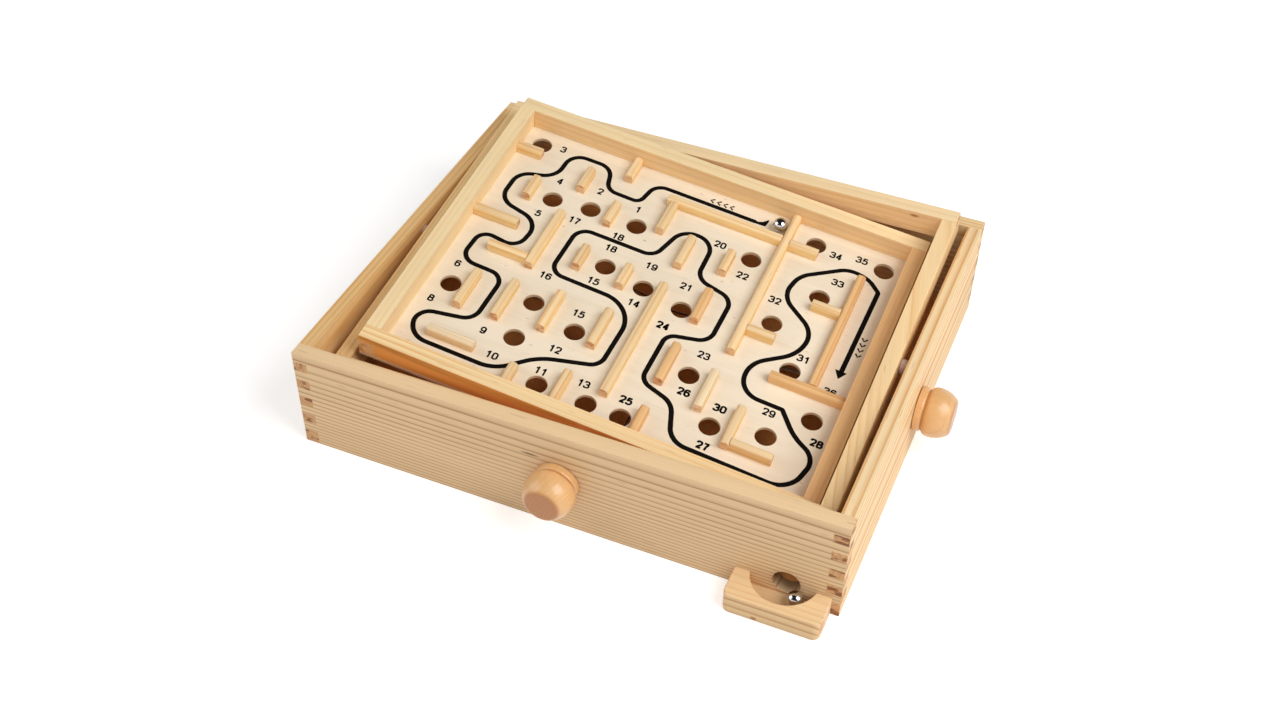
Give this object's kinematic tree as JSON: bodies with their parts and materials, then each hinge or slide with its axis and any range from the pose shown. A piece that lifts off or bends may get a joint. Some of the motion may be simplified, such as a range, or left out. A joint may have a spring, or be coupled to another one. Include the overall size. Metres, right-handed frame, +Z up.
{
  "type": "tilting ball maze",
  "caption": "Wooden tilting ball maze: a board with holes and wall strips hung in a ring inside an open box, tilted by two knobs, with a ball tray at the front.",
  "frame": {"origin": "on the resting plane, under the middle of the bounding box", "axes": "+X to the right along the front wall, -Y out of the front wall with the ball tray, +Z up"},
  "size_m": [0.3198, 0.2718, 0.0909],
  "materials": {
    "pine": "satin",
    "pale_pine": "satin",
    "plywood": "satin",
    "floor_board": "matte",
    "lacquered_wood": "gloss",
    "steel": "satin",
    "polished_steel": "polished",
    "bush": "matte",
    "cord": "matte"
  },
  "bodies": {
    "box": {"front_wall": "pine", "back_wall": "pine", "left_wall": "pine", "right_wall": "pine", "floor_panel": "floor_board", "floor_blocks": "pine", "ball_tray": "pine", "wall_pins": "steel", "wall_bushes": "bush", "ring_cord": "cord", "frame_cord": "cord"},
    "ring": {"ring_front": "pine", "ring_back": "pine", "ring_left": "pine", "ring_right": "pine", "ring_pins": "steel", "ring_bushes": "bush", "ring_eyes": "steel"},
    "board": {"frame_front": "pine", "frame_back": "pine", "frame_left": "pine", "frame_right": "pine", "frame_eyes": "steel", "maze_board": "plywood", "strip_divider": "pale_pine", "strip_start": "pale_pine", "strip_finish": "pale_pine", "strip_goal": "pale_pine", "strip_centre": "pale_pine", "strip_hook": "pale_pine", "strip_hook_foot": "pale_pine", "strip_back_1": "pale_pine", "strip_back_2": "pale_pine", "strip_back_3": "pale_pine", "strip_left_1": "pale_pine", "strip_left_2": "pale_pine", "strip_left_3": "pale_pine", "strip_left_4": "pale_pine", "strip_mid_1": "pale_pine", "strip_mid_2": "pale_pine", "strip_front_1": "pale_pine", "strip_front_2": "pale_pine", "strip_right_1": "pale_pine", "strip_right_2": "pale_pine", "strip_right_3": "pale_pine", "strip_right_4": "pale_pine", "strips_short_left": "pale_pine", "strips_short_mid": "pale_pine", "strips_short_right": "pale_pine"},
    "right_knob_unit": {"right_knob": "lacquered_wood", "right_shaft": "steel", "right_stop": "steel"},
    "front_knob_unit": {"front_knob": "lacquered_wood", "front_shaft": "steel", "front_stop": "steel"},
    "start_ball_unit": {"start_ball": "polished_steel"},
    "tray_ball_unit": {"tray_ball": "polished_steel"}
  },
  "joints": [
    {"name": "ring_tilt", "type": "hinge", "parent": "box", "child": "ring", "pos_m": [-0.0099, 0.0099, 0.0545], "axis": [1, 0, 0], "range_deg": [-13.8, 0.2], "deforming": ["ring_cord"]},
    {"name": "board_tilt", "type": "hinge", "parent": "ring", "child": "board", "pos_m": [-0.0099, 0.0099, 0.0545], "axis": [0, 0.993, 0.1184], "range_deg": [-14.9, 0.1], "deforming": ["frame_cord"]},
    {"name": "right_knob_turn", "type": "hinge", "parent": "box", "child": "right_knob_unit", "pos_m": [0.1401, 0.0099, 0.02942], "axis": [1, 0, 0], "range_deg": [-200, 4]},
    {"name": "front_knob_turn", "type": "hinge", "parent": "box", "child": "front_knob_unit", "pos_m": [-0.0099, -0.1161, 0.03252], "axis": [0, -1, 0], "range_deg": [-163, 2]},
    {"name": "start_ball_roll", "type": "slide", "parent": "board", "child": "start_ball_unit", "axis": [0.9917, 0.0153, -0.1279], "range_m": [-0.0835, 0]},
    {"name": "tray_ball_roll", "type": "slide", "parent": "box", "child": "tray_ball_unit", "axis": [1, 0, 0], "range_m": [-0.0175, 0.0015]}
  ],
  "couplings": [
    {"joint": "right_knob_turn", "follows": "ring_tilt", "ratio": 14.38},
    {"joint": "front_knob_turn", "follows": "board_tilt", "ratio": 10.84}
  ]
}
